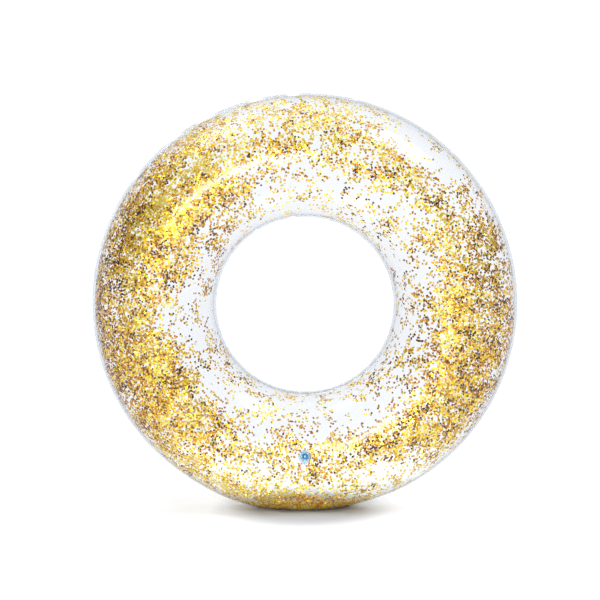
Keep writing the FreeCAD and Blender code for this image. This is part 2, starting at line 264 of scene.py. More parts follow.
# %% [markdown]
# ## Soft boxes
#
# The long pale streaks on the tube are mirrored lights. Bright planes could make them
# too, but area lights give less grain. The key stands high on the right, a weaker one
# high on the left, and a strip near the camera draws the broad shine on the front.

# %% Soft boxes
def soft_box(name, azimuth, elevation, distance, wide, high, radiance):
    """An area light seen from the ring's middle, at an azimuth right of the camera."""
    turn, rise = math.radians(azimuth), math.radians(elevation)
    towards = Vector(
        (math.sin(turn) * math.cos(rise), -math.cos(turn) * math.cos(rise), math.sin(rise))
    )
    bpy.ops.object.light_add(type="AREA", location=Vector((0, 0, MIDDLE)) + towards * distance)
    light = bpy.context.object
    light.name = name
    light.rotation_euler = (-towards).to_track_quat("-Z", "Y").to_euler()
    light.data.shape = "RECTANGLE"
    light.data.size = wide
    light.data.size_y = high
    light.data.energy = math.pi * wide * high * radiance
    print(name, round(light.data.energy, 1), "W")


# name, azimuth and elevation in degrees, then metres away, wide and high, and radiance
soft_box("key_right", 75, 55, 2.6, 1.1, 0.75, 13)
soft_box("fill_left", -100, 62, 2.6, 1.1, 0.7, 7)
soft_box("strip_front", -11, 10, 4.4, 1.3, 0.34, 54)
soft_box("overhead", 170, 80, 2.6, 2.2, 2.2, 1.1)

# %% [markdown]
# ## Floor
#
# The ring stands on a white floor that runs into the white behind it, with a short dark
# shadow right under it. A white floor alone would lose that shadow in the light that it
# gets from all sides. So the floor is greyer than it looks and glows a little, less near
# the ring and more far away, which makes it white everywhere else. This glow is painted
# light and shade. It is left out round a spot just in front of the ring, so the dark
# shadow there is partly real and partly painted. It is stronger a little way off, which
# paints away the ring's shadow at its sides.

# %% Floor
bpy.ops.mesh.primitive_plane_add(size=400, location=(0, 0, 0))
floor = bpy.context.object
floor.name = "floor"
floor_material, floor_finish = new_finish("studio_floor")
spot = floor_finish.node("ShaderNodeTexCoord", output="Object")
from_painted_shade = floor_finish.node(
    "ShaderNodeVectorMath", {"operation": "ADD"}, {0: spot, 1: (0, 0.045, 0)}
)
away = floor_finish.node("ShaderNodeVectorMath", {"operation": "LENGTH"}, {0: from_painted_shade}, "Value")
far = floor_finish.eased(away, 0.3, 4.5)
near = floor_finish.eased(away, 0.10, 0.22)
beyond = floor_finish.eased(away, 0.38, 0.8)
# Painted light and shade: no glow just in front of the ring, extra glow a little way off.
glow = 0.36 * near + 0.33 * far + 0.15 * near * (1.0 - beyond)
glow_colour = floor_finish.node("ShaderNodeCombineColor", None, {0: glow, 1: glow, 2: glow})
floor_finish.surface(
    floor_finish.principled(
        Base_Color=(0.60, 0.61, 0.635, 1),
        Roughness=1.0,
        Specular_IOR_Level=0.0,
        Emission_Color=glow_colour,
        Emission_Strength=1.0,
    )
)
floor.data.materials.append(floor_material)

# %% [markdown]
# ## Puckers
#
# A flat sheet that is blown up has too much edge, so the weld gathers it in small
# puckers. A cloth simulation would find them, but slowly. A few waves round the ring,
# added up and bent so that valleys are narrow and bulges broad, look the same. They
# fade out a finger's width from the weld.

# %% Puckers
PUCKER_DEPTH = 0.0016
PUCKER_REACH = 0.011
OUTER_COUNTS = (53, 71, 88, 109)
INNER_COUNTS = (23, 31, 17, 41)
SWELL_COUNTS = (2, 5, 9)

rng = np.random.default_rng(11)
outer_phases = rng.uniform(0, 2 * math.pi, 4)
inner_phases = rng.uniform(0, 2 * math.pi, 4)
swell_phases = rng.uniform(0, 2 * math.pi, 3)


def waves(clock, counts, phases):
    """A wavy line round the ring, about 1 high, from whole numbers of waves."""
    total = sum(np.cos(count * clock + phase) for count, phase in zip(counts, phases))
    return total / len(counts)


def crease(clock, counts, phases):
    """Narrow valleys between broad bulges, deeper in some places than in others."""
    line = waves(clock, counts, phases)
    swell = 0.55 + 0.45 * waves(clock, SWELL_COUNTS, swell_phases)
    return swell * (np.sqrt(np.abs(line) + 0.02) - 0.45)


def pucker(clock, tube):
    """How far the film stands out where the weld gathers it, in metres."""
    from_outer = np.abs(tube) * TUBE
    from_inner = (math.pi - np.abs(tube)) * TUBE
    total = 0
    for away, counts, phases, share in (
        (from_outer, OUTER_COUNTS, outer_phases, 0.55),
        (from_inner, INNER_COUNTS, inner_phases, 1.2),
    ):
        near = away / PUCKER_REACH
        total = total + share * near * np.exp(1 - near) * crease(clock, counts, phases)
    return PUCKER_DEPTH * total


once_round = np.linspace(-math.pi, math.pi, 2000)
print("outer puckers", round(1000 * np.ptp(pucker(once_round, PUCKER_REACH / TUBE)), 2), "mm deep")

# %% [markdown]
# ## Flat place on the floor
#
# The ring's weight presses the soft tube flat where it stands. Cutting it off there
# would leave a sharp edge, so the film is bent smoothly instead: its height never sinks
# below the floor, and it bulges to the front and the back to make up for that. It also
# sags a little beside the contact, more on one side than on the other.

# %% Flat place on the floor
FLOOR_ROOM = 0.0009       # height at which the film runs over its own folded lip
FLOOR_BEND = 0.0035       # how softly the film turns into its flat place
FLOOR_BULGE = 0.28        # how much thicker the tube gets right at the floor
BULGE_HEIGHT = 0.018      # how fast that fades with the height
SAGS = ((197, 12, 0.0022), (162, 10, -0.0030))    # clock angle, spread in degrees, metres


def spreads_from(angle, centre, spread):
    """How far an angle is from a centre, the short way, in spreads given in degrees."""
    return np.angle(np.exp(1j * (angle - math.radians(centre)))) / math.radians(spread)


def sag(clock):
    """How far the film sags outwards beside the floor."""
    return sum(
        depth * np.exp(-(spreads_from(clock, centre, spread) ** 2)) for centre, spread, depth in SAGS
    )


def above_floor(z, level):
    """z, bent smoothly so that it never sinks below the level."""
    over = z - level
    return level + 0.5 * (over + np.sqrt(over**2 + FLOOR_BEND**2))


print("sag", [round(1000 * sag(math.radians(clock)), 2) for clock in (162, 180, 197)], "mm")

# %% [markdown]
# ## Where a point of the tube is
#
# Film and glitter share one set of sums, so that the flakes always lie on the film. A
# point is named by its clock angle, which is 0 at the top, and by its angle round the
# tube, which is 0 at the outer weld, 90 degrees at the front, 180 at the inner weld and
# -90 at the back.

# %% Points of the tube
def tube_point(clock, tube, depth=0.0):
    """Points on the film's outside, or depth metres inside it."""
    swollen = TUBE - depth + pucker(clock, tube)
    reach = RING + swollen * np.cos(tube) + sag(clock) * np.clip(np.cos(tube), 0, 1)
    z = MIDDLE + reach * np.cos(clock)
    z = above_floor(z, FLOOR_ROOM + depth)
    bulge = 1 + FLOOR_BULGE * np.exp(-z / BULGE_HEIGHT)
    return np.stack([reach * np.sin(clock), -bulge * swollen * np.sin(tube), z], axis=-1)


def tube_normal(clock, tube):
    """The outward direction there, with the flat place left out."""
    return np.stack(
        [np.cos(tube) * np.sin(clock), -np.sin(tube), np.cos(tube) * np.cos(clock)], axis=-1
    )


def tube_angles(points):
    """Clock angle and angle round the tube of points close to the round tube."""
    reach = np.hypot(points[:, 0], points[:, 2] - MIDDLE)
    clock = np.arctan2(points[:, 0], points[:, 2] - MIDDLE)
    tube = np.arctan2(-points[:, 1], reach - RING)
    return clock, tube


print("top of the tube", tube_point(0.0, 0.0), "bottom", tube_point(math.pi, 0.0))

# %% [markdown]
# ## Mesh helpers
#
# Operators act on whatever is selected, so each step first clears the selection and
# then picks its faces or points in code. Moving thousands of points one by one is slow
# in Python, so a mesh's points are read and written all at once.

# %% Mesh helpers
def clear_selection():
    if bpy.context.object and bpy.context.object.mode != "OBJECT":
        bpy.ops.object.mode_set(mode="OBJECT")
    bpy.ops.object.select_all(action="DESELECT")


def pick(piece):
    clear_selection()
    bpy.context.view_layer.objects.active = piece
    piece.select_set(True)


def points_of(piece):
    """The piece's points as an array with a row for each."""
    flat = np.empty(len(piece.data.vertices) * 3)
    piece.data.vertices.foreach_get("co", flat)
    return flat.reshape(-1, 3)


def move_points(piece, points):
    piece.data.vertices.foreach_set("co", np.asarray(points, float).ravel())
    piece.data.update()


def edit(piece, mode, chosen):
    """Enter edit mode with only the chosen points, edges or faces selected."""
    pick(piece)
    mesh = piece.data
    for items in (mesh.vertices, mesh.edges, mesh.polygons):
        items.foreach_set("select", np.zeros(len(items), bool))
    items = {"VERT": mesh.vertices, "EDGE": mesh.edges, "FACE": mesh.polygons}[mode]
    items.foreach_set("select", np.asarray(chosen, bool))
    bpy.context.tool_settings.mesh_select_mode = [mode == kind for kind in ("VERT", "EDGE", "FACE")]
    bpy.ops.object.mode_set(mode="EDIT")


def done():
    bpy.ops.object.mode_set(mode="OBJECT")


def face_outwards(piece):
    edit(piece, "FACE", np.ones(len(piece.data.polygons), bool))
    bpy.ops.mesh.normals_make_consistent(inside=False)
    done()


def selected_points(piece):
    chosen = np.empty(len(piece.data.vertices), bool)
    piece.data.vertices.foreach_get("select", chosen)
    return chosen


def apply_modifiers(piece):
    pick(piece)
    for modifier in list(piece.modifiers):
        bpy.ops.object.modifier_apply(modifier=modifier.name)


def smooth(piece, degrees):
    pick(piece)
    bpy.ops.object.shade_smooth_by_angle(angle=math.radians(degrees))


def count_triangles(piece):
    return sum(len(face.vertices) - 2 for face in piece.data.polygons)


# %% [markdown]
# ## Half a tube
#
# The real sheet is flat and swells when it is blown up. Cloth physics could do the same,
# with wrinkles that nobody chose. So each sheet starts as a torus of the swollen size,
# and the faces of its other half are deleted.

# %% Half a tube
ROUND_STEPS = 640
TUBE_STEPS = 96


def half_tube(name, side):
    """The half of the tube with side times y above 0."""
    clear_selection()
    bpy.ops.mesh.primitive_torus_add(
        major_segments=ROUND_STEPS,
        minor_segments=TUBE_STEPS,
        major_radius=RING,
        minor_radius=TUBE,
        location=(0, 0, MIDDLE),
        rotation=(math.radians(90), 0, 0),
    )
    sheet = bpy.context.object
    sheet.name = name
    bpy.ops.object.transform_apply(location=True, rotation=True, scale=True)
    far_side = [face.center.y * side < 0 for face in sheet.data.polygons]
    edit(sheet, "FACE", far_side)
    bpy.ops.mesh.delete(type="FACE")
    done()
    return sheet


# %% [markdown]
# ## Welded lips
#
# Outside each weld, a narrow margin of film is left over, 5 mm wide. It could be a
# piece of its own, but on the real ring it is the same film. So the two open edges of
# the half tube are extruded in three steps, and each point remembers its step.

# %% Welded lips
LIP_STEPS = 3
AT_WELD = 0.00001        # points this close to the middle plane are on the weld


def pull_lips(sheet):
    """Pull the two open edges out in steps, and return each point's step."""
    steps = np.zeros(len(sheet.data.vertices), int)
    on_edge = np.abs(points_of(sheet)[:, 1]) < AT_WELD
    for step in range(1, LIP_STEPS + 1):
        edit(sheet, "VERT", on_edge)
        bpy.ops.mesh.extrude_region_move()
        done()
        on_edge = selected_points(sheet)
        grown = np.zeros(len(sheet.data.vertices), int)
        grown[: len(steps)] = steps
        grown[on_edge] = step
        steps = grown
    return steps


# %% [markdown]
# ## Shape of a sheet
#
# Now every point goes where the air, the welds and the floor put it. The rows of points
# move closer together near the welds, where the puckers need them. The lips wave a
# little, and on the floor the outer lip can't stand, so it lies folded to the back.

# %% Shape of a sheet
WELD_GAP = 0.00001        # keeps the two sheets' inner faces from being one face
LIP_WAVE = 0.0009
LIP_COUNTS = (29, 44, 67)


def lip_wave(clock):
    """How far the lip's free edge waves to the back, in metres."""
    return LIP_WAVE * waves(clock, LIP_COUNTS, outer_phases)


def shaped(points, steps, side):
    """Where the air, the welds and the floor put the points of one sheet."""
    clock, tube = tube_angles(points)
    at_weld = np.abs(points[:, 1]) < AT_WELD
    tube = np.where(at_weld, np.where(np.abs(tube) < 1, 0.0, math.pi), tube)
    tube = tube - 0.3 * np.sin(2 * tube)          # closer rows near the welds
    moved = tube_point(clock, tube)
    moved[at_weld, 1] = side * (FILM + WELD_GAP)
    out = LIP * steps / LIP_STEPS
    away = np.where(np.abs(tube) < 1, 1.0, -1.0)
    wave = lip_wave(clock) * (steps / LIP_STEPS) ** 2
    moved[:, 0] += away * out * np.sin(clock)
    moved[:, 1] += wave
    moved[:, 2] += away * out * np.cos(clock)
    return moved


def fold_under(points, steps):
    """Fold the lip flat towards the back where the floor is in its way."""
    floor_gap = 0.0001 + 0.5 * FILM
    sunk = (steps > 0) & (points[:, 2] < floor_gap)
    points[sunk, 1] += np.minimum(floor_gap - points[sunk, 2], LIP)
    points[sunk, 2] = floor_gap + 0.9 * FILM * (points[sunk, 1] > 0)
    return points


# %% [markdown]
# ## The two sheets
#
# A sheet has two faces, an outer and an inner one. They could be modelled apart, but a
# Solidify modifier makes the wall evenly thick everywhere. It needs the faces to point
# away from the ring, so they are turned first where that is needed.

# %% The two sheets
def film_sheet(name, side):
    sheet = half_tube(name, side)
    steps = pull_lips(sheet)
    points = shaped(points_of(sheet), steps, side)
    move_points(sheet, fold_under(points, steps))
    face_outwards(sheet)
    if sum(face.normal.y * face.area for face in sheet.data.polygons) * side < 0:
        edit(sheet, "FACE", np.ones(len(sheet.data.polygons), bool))
        bpy.ops.mesh.flip_normals()
        done()
    wall = sheet.modifiers.new("wall", "SOLIDIFY")
    wall.thickness = FILM
    wall.offset = -1
    apply_modifiers(sheet)
    smooth(sheet, 50)
    print(name, count_triangles(sheet), "triangles")
    return sheet


front_film = film_sheet("front_film", -1)
back_film = film_sheet("back_film", 1)

# %% [markdown]
# ## Hole for the valve
#
# The valve goes through a round hole that is punched in the front sheet. Faces could be
# deleted there, which leaves a jagged edge. A Boolean with a cylinder along the valve's
# own axis cuts a clean round hole through both walls of the sheet.

# %% Hole for the valve
HOLE = 0.01015
VALVE_FRAME = Matrix((Vector((1, 0, 0)), VALVE_UP, VALVE_OUT)).transposed()


def placed_on_valve(x, up, out):
    """Points given in metres to the right, up along the film and out of the tube."""
    local = np.stack([x, up, out], axis=-1)
    return local @ np.array(VALVE_FRAME).T + np.array(VALVE)


clear_selection()
bpy.ops.mesh.primitive_cylinder_add(
    vertices=96, radius=HOLE, depth=0.02, location=VALVE, rotation=VALVE_FRAME.to_euler()
)
punch = bpy.context.object
cut = front_film.modifiers.new("valve_hole", "BOOLEAN")
cut.operation = "DIFFERENCE"
cut.solver = "EXACT"
cut.object = punch
apply_modifiers(front_film)
bpy.data.objects.remove(punch)
print("front film with its hole", count_triangles(front_film), "triangles")

# %% [markdown]
# ## Clear film
#
# Soft vinyl is clear, with a faint grey-blue haze that shows where the eye looks along
# it, and a gloss that mirrors the soft boxes. A glass shader would bend the view
# through four thin walls and be slow and grainy. So the film is mostly a Transparent
# shader, and a Layer Weight mixes in the glossy haze towards the edges. Low down beside
# the hole, where the white floor shines through, the haze is made weaker. This is painted
# light, because that part of the tube faces up into the light.

# %% Clear film
film_material, film = new_finish("clear_film")
place = film.node("ShaderNodeTexCoord", output="Object")
x = film.part(place, "X")
z = film.part(place, "Z") - MIDDLE
radius = (x**2 + z**2) ** 0.5
on_outer_lip = film.eased(radius, OUTSIDE - LIP - 0.0008, OUTSIDE - LIP + 0.0004)
on_inner_lip = film.eased(radius, RING - TUBE + 0.0008, RING - TUBE - 0.0004)
weld = (on_outer_lip + on_inner_lip).clamped()
facing = film.node("ShaderNodeLayerWeight", None, {"Blend": 0.5}, output="Facing")
# Painted light: the haze is thinned low down on the hole's side, which lightens the film there.
painted_light_low = film.eased(z, 0.0, -0.12)
painted_light_hole_side = film.eased(radius, RING, RING - 0.8 * TUBE)
edge_haze = 0.28 * (1.0 - 0.55 * painted_light_low * painted_light_hole_side)
veil = (0.030 + 0.07 * facing**2 + edge_haze * facing**6 + 0.12 * weld).clamped()
clear = film.node("ShaderNodeBsdfTransparent", None, {"Color": (0.985, 0.99, 0.995, 1)})
haze = film.principled(
    Base_Color=(0.30, 0.35, 0.42, 1),
    Metallic=0.25,
    Roughness=0.20,
    IOR=2.6,
    Specular_IOR_Level=1.0,
)
film.surface(film.node("ShaderNodeMixShader", None, {0: veil, 1: clear, 2: haze}))

# %% [markdown]
# ## Film in the frame
#
# Each sheet takes the place of its plain CAD node and moves with the ring's body.

# %% Film in the frame
def give_finish(piece, material):
    piece.data.materials.clear()
    piece.data.materials.append(material)


for sheet, node in ((front_film, "front_skin"), (back_film, "back_skin")):
    give_finish(sheet, film_material)
    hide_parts(node)
    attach(sheet, "ring")
    print(sheet.name, "stands for", node)

# %% [markdown]
# ## Valve
#
# The valve is a soft moulding. A clear teardrop flange is welded round the hole in the
# front sheet, and a thin neck rolls in from it to the stem, so that the stem can be
# pushed flush. The cap plugs the stem and hangs on a folded strap. The stem, its collar
# and the check flap inside are plain shapes, so they stay as they are in the frame and
# only get a finish. Flange and neck are turned pieces: a small torus is added with a
# row of points for each corner of the cross-section, and its points are then moved.

# %% Turned pieces
TURN_STEPS = 64


def turned(name, profile):
    """A ring of that cross-section round the valve's axis, from rows of (radius, out)."""
    clear_selection()
    bpy.ops.mesh.primitive_torus_add(
        major_segments=TURN_STEPS, minor_segments=len(profile), major_radius=0.01, minor_radius=0.002
    )
    piece = bpy.context.object
    piece.name = name
    spin = np.repeat(np.arange(TURN_STEPS), len(profile)) * 2 * math.pi / TURN_STEPS
    reach = np.tile([row[0] for row in profile], TURN_STEPS)
    out = np.tile([row[1] for row in profile], TURN_STEPS)
    return piece, spin, reach, out


def finish_turned(piece, points):
    move_points(piece, points)
    face_outwards(piece)
    smooth(piece, 40)
    print(piece.name, count_triangles(piece), "triangles")


# %% [markdown]
# ## Flange
#
# The flange is a disc that is drawn out to a blunt tip below, like a drop, with a groove
# where the weld presses it down. A flat disc would float off the curved tube. So its
# cross-section is written once, from the hole at 0 to the rim at 1, stretched to the
# drop's outline in each direction, and laid on the film.

# %% Flange
FLANGE = 0.014
FLANGE_TIP = 0.0045
TIP_BELOW = 0.0135
NECK = 0.010


def teardrop(spin):
    """How far the flange reaches in each direction: a big and a small circle, joined."""
    upwards = np.sin(spin)
    best = np.zeros(len(spin))
    for share in np.linspace(0, 1, 60):
        radius = FLANGE + (FLANGE_TIP - FLANGE) * share
        along = -TIP_BELOW * share * upwards
        inside = radius**2 - (TIP_BELOW * share) ** 2 + along**2
        reach = along + np.sqrt(np.maximum(inside, 0))
        best = np.maximum(best, np.where(inside > 0, reach, 0))
    return best


def on_film(x, up, out):
    """Points over the valve's spot that follow the film, out metres above it."""
    flat = placed_on_valve(x, up, np.zeros_like(x))
    clock, tube = tube_angles(flat)
    return tube_point(clock, tube, -out)


# share of the way from the hole to the rim, metres above the film
flange_profile = [
    (0.00, 0.0001), (0.00, 0.0008), (0.04, 0.0011), (0.10, 0.0012), (0.45, 0.0012),
    (0.62, 0.00085), (0.72, 0.0008), (0.80, 0.00105), (0.92, 0.0009), (0.98, 0.0006),
    (1.00, 0.0003), (1.00, 0.0001), (0.50, 0.0001),
]
flange, spin, share, out = turned("valve_flange_visual", flange_profile)
reach = NECK + share * (teardrop(spin) - NECK)
finish_turned(flange, on_film(reach * np.cos(spin), reach * np.sin(spin), out))

# %% [markdown]
# ## Neck
#
# The neck is the soft wall that lets the stem slide in and out. It rolls down from the
# hole's edge and in towards the stem. It is turned like the flange, with one line for
# its upper side and one for its under side. Its upper end follows the film's bow round
# the hole, so no gap shows there, and its lower end is level for the stem.

# %% Neck
# radius, metres out of the film
neck_line = [
    (0.0099, 0.0006), (0.0096, 0.0000), (0.0094, -0.0012), (0.0092, -0.0028), (0.0089, -0.0042),
    (0.0084, -0.0053), (0.0077, -0.0058), (0.0071, -0.0058),
]
neck_under = [
    (0.0071, -0.0066), (0.0079, -0.0067), (0.0089, -0.0061), (0.0095, -0.0048), (0.0098, -0.0030),
    (0.0099, -0.0012), (0.00995, -0.0002),
]
neck, spin, reach, out = turned("valve_neck_visual", neck_line + neck_under)
film_bow = on_film(NECK * np.cos(spin), NECK * np.sin(spin), np.zeros_like(spin))
bow = (film_bow - np.array(VALVE)) @ np.array(VALVE_OUT)
near_flange = np.clip(1 + out / 0.004, 0, 1)
finish_turned(
    neck, placed_on_valve(reach * np.cos(spin), reach * np.sin(spin), out + bow * near_flange)
)


# %% [markdown]
# ## Cap
#
# The cap is a small button with a round edge, a deep dimple in its middle and a plug
# that fits the stem's bore. A Screw modifier could turn its outline too. Here a disc is
# extruded and rescaled from ring to ring, as by hand, which also closes both ends.

# %% Cap
def lathe(name, profile, sides=72):
    """A round solid: a disc that is extruded and rescaled from ring to ring."""
    radius, height = profile[0]
    clear_selection()
    bpy.ops.mesh.primitive_circle_add(
        vertices=sides, radius=radius, fill_type="NGON", location=(0, 0, height)
    )
    piece = bpy.context.object
    piece.name = name
    bpy.ops.object.transform_apply(location=True, rotation=True, scale=True)
    edit(piece, "FACE", [True])
    for next_radius, next_height in profile[1:]:
        scale = next_radius / radius
        bpy.ops.mesh.extrude_region_move(
            TRANSFORM_OT_translate={"value": (0, 0, next_height - height)}
        )
        bpy.ops.transform.resize(value=(scale, scale, 1), center_override=(0, 0, next_height))
        radius, height = next_radius, next_height
    done()
    face_outwards(piece)
    smooth(piece, 40)
    return piece


# radius, metres out of the film: plug, underside, edge, top and dimple
cap_profile = [
    (0.0029, -0.0027), (0.0033, -0.0026), (0.00355, -0.0020), (0.0037, 0.0008), (0.0037, 0.0029),
    (0.0058, 0.00305), (0.00615, 0.0032), (0.00625, 0.0036), (0.00625, 0.0048), (0.0061, 0.0052),
    (0.0058, 0.0054), (0.0052, 0.0055), (0.0030, 0.0054), (0.0025, 0.0052), (0.0021, 0.0048),
    (0.0018, 0.0036), (0.0015, 0.0015), (0.0012, 0.0010),
]
cap = lathe("valve_cap_visual", cap_profile)
cap_points = points_of(cap)
move_points(cap, placed_on_valve(cap_points[:, 0], cap_points[:, 1], cap_points[:, 2]))
print("cap", count_triangles(cap), "triangles")

# %% [markdown]
# ## Strap
#
# A soft tongue keeps the cap from getting lost. It runs down from the cap to the collar
# and folds there when the cap swings open. A box would be too coarse to fold, so a
# narrow grid is laid along the tongue's path, row by row, and then gets its thickness
# and its rounded edges from two modifiers.

# %% Strap
STRAP_WIDTH = 0.004
STRAP_THICKNESS = 0.0009
# metres up along the film, metres out of it
strap_path = [
    (-0.0061, 0.0037), (-0.0072, 0.00365), (-0.0085, 0.0036), (-0.0100, 0.00355),
    (-0.0112, 0.0035), (-0.0122, 0.0034), (-0.0130, 0.00315), (-0.0135, 0.0028),
]
clear_selection()
bpy.ops.mesh.primitive_grid_add(x_subdivisions=4, y_subdivisions=len(strap_path) - 1, size=1)
strap = bpy.context.object
strap.name = "cap_strap_visual"
grid = points_of(strap)
row = np.round((grid[:, 1] + 0.5) * (len(strap_path) - 1)).astype(int)
up, out = np.array(strap_path)[row].T
move_points(strap, placed_on_valve(grid[:, 0] * STRAP_WIDTH, up, out))
wall = strap.modifiers.new("wall", "SOLIDIFY")
wall.thickness = STRAP_THICKNESS
wall.offset = 0
rounding = strap.modifiers.new("rounding", "BEVEL")
rounding.width = 0.00025
rounding.segments = 3
apply_modifiers(strap)
face_outwards(strap)
smooth(strap, 60)
print("strap", count_triangles(strap), "triangles")

# %% [markdown]
# ## Clear flange
#
# The flange is the same clear vinyl as the sheets, but three times as thick, so it looks
# milkier and a little violet. It is made as the film is, with a stronger veil.

# %% Clear flange
flange_material, flange_finish = new_finish("clear_flange")
facing = flange_finish.node("ShaderNodeLayerWeight", None, {"Blend": 0.5}, output="Facing")
veil = (0.34 + 0.25 * facing**2 + 0.55 * facing**4).clamped()
clear = flange_finish.node("ShaderNodeBsdfTransparent", None, {"Color": (0.96, 0.98, 0.99, 1)})
haze = flange_finish.principled(Base_Color=(0.44, 0.47, 0.62, 1), Metallic=0.3, Roughness=0.14)
flange_finish.surface(flange_finish.node("ShaderNodeMixShader", None, {0: veil, 1: clear, 2: haze}))


# %% [markdown]
# ## Blue vinyl
#
# The stem, the collar, the flap, the neck and the strap are dyed vinyl, pale or middle
# blue. A plain plastic would look hard. Dyed soft vinyl lets some light in, so a little
# subsurface scattering keeps its shadows light, and its gloss is soft.

# %% Blue vinyl
def vinyl(name, colour):
    """Dyed soft vinyl of one colour."""
    material, finish = new_finish(name)
    shader = finish.principled(
        Base_Color=(*colour, 1),
        Roughness=0.32,
        Subsurface_Weight=0.35,
        Subsurface_Radius=(0.3, 0.7, 1.0),
        Subsurface_Scale=0.002,
        Specular_IOR_Level=0.55,
    )
    finish.surface(shader)
    return material


pale_vinyl = vinyl("pale_blue_vinyl", (0.66, 0.89, 0.98))
mid_vinyl = vinyl("blue_vinyl", (0.34, 0.70, 0.94))

# %% [markdown]
# ## Deep blue cap
#
# The cap is deep blue, and the dimple in its top is pale. The dimple could be a slot of
# its own, but its edge is soft. So the colour is mixed by the distance from the valve's
# axis, and only above the plug, whose end would turn pale too.

# %% Deep blue cap
cap_material, cap_finish = new_finish("deep_blue_vinyl")
place = cap_finish.node("ShaderNodeTexCoord", output="Object")
from_valve = cap_finish.node(
    "ShaderNodeVectorMath", {"operation": "SUBTRACT"}, {0: place, 1: tuple(VALVE)}
)
out_of_film = cap_finish.node(
    "ShaderNodeVectorMath", {"operation": "DOT_PRODUCT"}, {0: from_valve, 1: tuple(VALVE_OUT)}, "Value"
)
distance = cap_finish.node("ShaderNodeVectorMath", {"operation": "LENGTH"}, {0: from_valve}, "Value")
off_axis = (distance**2 - out_of_film**2) ** 0.5
in_dimple = cap_finish.eased(off_axis, 0.0026, 0.0021)
on_top = cap_finish.eased(out_of_film, -0.0010, 0.0005)
cap_colour = cap_finish.node(
    "ShaderNodeMix",
    {"data_type": "RGBA"},
    {"Factor": in_dimple * on_top, "A": (0.004, 0.13, 0.36, 1), "B": (0.62, 0.86, 0.97, 1)},
    "Result",
)
cap_finish.surface(
    cap_finish.principled(Base_Color=cap_colour, Roughness=0.30, Specular_IOR_Level=0.35)
)

# %% [markdown]
# ## Valve in the frame
#
# Each piece now gets its finish, and its plain CAD node is hidden. The flange stays on
# the ring, and the cap swings as one. Two pieces join two bodies, and would tear if they
# moved with one of them. The neck and the strap are tied to no body; only their placing
# is baked into their points.

for piece, material, node, slot in (
    (flange, flange_material, "valve_flange", "clear_flange"),
    (neck, pale_vinyl, "valve_neck", "pale_blue_vinyl"),
    (cap, cap_material, "valve_cap", "deep_blue_vinyl"),
    (strap, mid_vinyl, "cap_strap", "blue_vinyl"),
):
    give_finish(piece, material)
    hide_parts(node)

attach(flange, "ring")
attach(cap, "cap")
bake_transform(neck)
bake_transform(strap)

for name, material in (
    ("valve_stem", pale_vinyl),
    ("strap_collar", mid_vinyl),
    ("check_flap", pale_vinyl),
):
    give_finish(frame["nodes"][name], material)
    print(name, "keeps its shape and gets", material.name)

# %% [markdown]
# ## One flake
#
# Glitter is punched from a thin metallised film, and each flake is a six-sided chip.
# It is modelled once, as a very flat cylinder with six sides.

# %% One flake
FLAKE_WIDTH = 0.0045
FLAKE_THICKNESS = 0.00012

clear_selection()
bpy.ops.mesh.primitive_cylinder_add(
    vertices=6, radius=FLAKE_WIDTH / math.sqrt(3), depth=FLAKE_THICKNESS, location=(0, 0, 0)
)
flake = bpy.context.object
flake_points = points_of(flake)
flake_faces = [tuple(face.vertices) for face in flake.data.polygons]
bpy.data.objects.remove(flake)
print("flake has", len(flake_faces), "faces")

# %% [markdown]
# ## Drifts
#
# The flakes cling where they last slid to, in soft drifts with bare places between them.
# A noise texture would spread them evenly round the ring. A short list of drifts, each
# with its place, its spread and its share, gives every part its own thickness. The back
# sheet has the same drifts, mirrored and a little turned.

# %% Drifts
# clock angle, angle round the tube, spread of each in degrees, share (below 0: a bare place)
FRONT_DRIFTS = [
    (240, 80, 15, 13, 3.4),
    (242, 45, 14, 14, 1.6),
    (262, 52, 16, 14, 0.4),
    (270, 116, 13, 12, 0.25),
    (268, 25, 20, 10, 1.2),
    (136, 83, 16, 6, 0.6),
    (33, 40, 10, 13, -0.7),
    (150, 116, 9, 9, -0.35),
    (150, 64, 9, 8, -0.35),
    (179, 66, 12, 7, -0.3),
    (268, 60, 8, 14, -0.4),
    (332, 66, 9, 8, -0.4),
    (288, 60, 13, 20, 1.7),
    (303, 90, 13, 16, 3.0),
    (306, 45, 10, 14, 0.8),
    (330, 95, 12, 7, 1.6),
    (322, 46, 10, 11, 1.0),
    (344, 56, 12, 10, 0.7),
    (3, 64, 10, 13, 0.8),
    (27, 83, 9, 6, 1.9),
    (54, 76, 10, 10, 0.9),
    (68, 50, 12, 12, 0.8),
    (90, 92, 14, 13, 1.6),
    (95, 46, 14, 16, 1.9),
    (118, 80, 11, 9, 1.7),
    (118, 124, 10, 12, 0.5),
    (124, 50, 11, 14, 1.5),
    (156, 83, 15, 5, 3.0),
    (178, 83, 9, 6, 1.5),
    (186, 58, 18, 10, 0.4),
    (182, 24, 15, 10, 1.1),
    (180, 42, 14, 9, 0.5),
    (211, 30, 13, 12, 1.3),
    (216, 88, 11, 8, 1.6),
]
BACK_DRIFTS = [
    (clock + 7, -tube + 6, wide, high, share) for clock, tube, wide, high, share in FRONT_DRIFTS
]
EVERYWHERE = 0.10         # thickness of the glitter outside all drifts
NEAR_HOLE = 0.70          # share of that which is left on the hole's side
IN_DRIFT = 0.30           # thickness in the middle of a drift with share 1


def drift_strength(clock, tube, drifts):
    """How thick the glitter lies there, up to about 1."""
    on_hole_side = 0.5 - 0.5 * np.cos(tube)
    total = EVERYWHERE * (1 - (1 - NEAR_HOLE) * on_hole_side)
    for drift_clock, drift_tube, wide, high, share in drifts:
        away = spreads_from(clock, drift_clock, wide)
        round_tube = spreads_from(tube, drift_tube, high)
        total = total + IN_DRIFT * share * np.exp(-0.5 * (away**2 + round_tube**2))
    return np.maximum(total, 0.01)


print(len(FRONT_DRIFTS), "drifts and bare places on each sheet")

